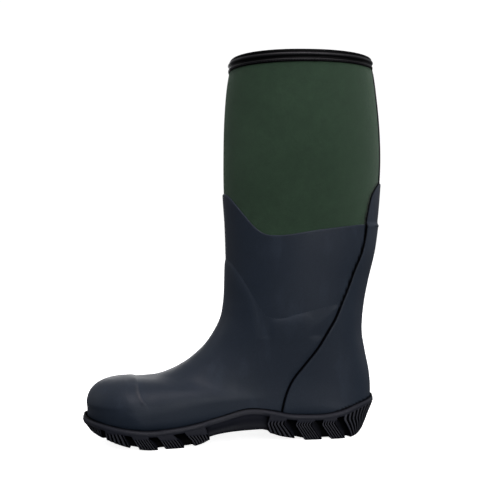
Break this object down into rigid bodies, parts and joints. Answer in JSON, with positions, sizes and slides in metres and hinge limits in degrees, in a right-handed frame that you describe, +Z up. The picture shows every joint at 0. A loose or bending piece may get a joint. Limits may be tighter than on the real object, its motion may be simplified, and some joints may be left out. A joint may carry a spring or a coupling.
{
  "type": "insulated hunting boot",
  "caption": "Tall pull-on insulated field boot: neoprene leg, overlaid rubber foot and leg shells, bound rim, lugged rubber outsole and a lift-out footbed.",
  "frame": {"origin": "on the ground, under the middle of the boot's bounding box", "axes": "toe towards -X, inner (medial) side towards -Y, +Z up the leg"},
  "size_m": [0.3248, 0.1152, 0.4093],
  "materials": {
    "rubber": "satin",
    "outsole": "matte",
    "neoprene": "matte",
    "lining": "matte",
    "binding": "satin",
    "tape": "matte",
    "board": "matte",
    "midsole": "matte",
    "foam": "matte",
    "felt": "matte",
    "steel": "brushed"
  },
  "bodies": {
    "boot": {"neoprene_shaft": "neoprene", "neoprene_foot": "neoprene", "shaft_lining": "lining", "foot_lining": "lining", "collar_binding": "binding", "back_seam_tape": "tape", "inner_seam_tape": "tape", "leg_shell": "rubber", "vamp": "rubber", "heel_counter": "rubber", "toe_cap": "rubber", "toe_puff": "board", "heel_stiffener": "board", "outsole": "outsole", "midsole": "midsole", "insole_board": "board", "shank": "steel", "thermal_underlay": "felt"},
    "footbed_pad": {"footbed": "foam", "footbed_cover": "felt"}
  },
  "joints": [
    {"name": "footbed_lift", "type": "hinge", "parent": "boot", "child": "footbed_pad", "pos_m": [-0.14549, 0, 0.03363], "axis": [0, -1, 0], "range_deg": [0, 8]}
  ]
}
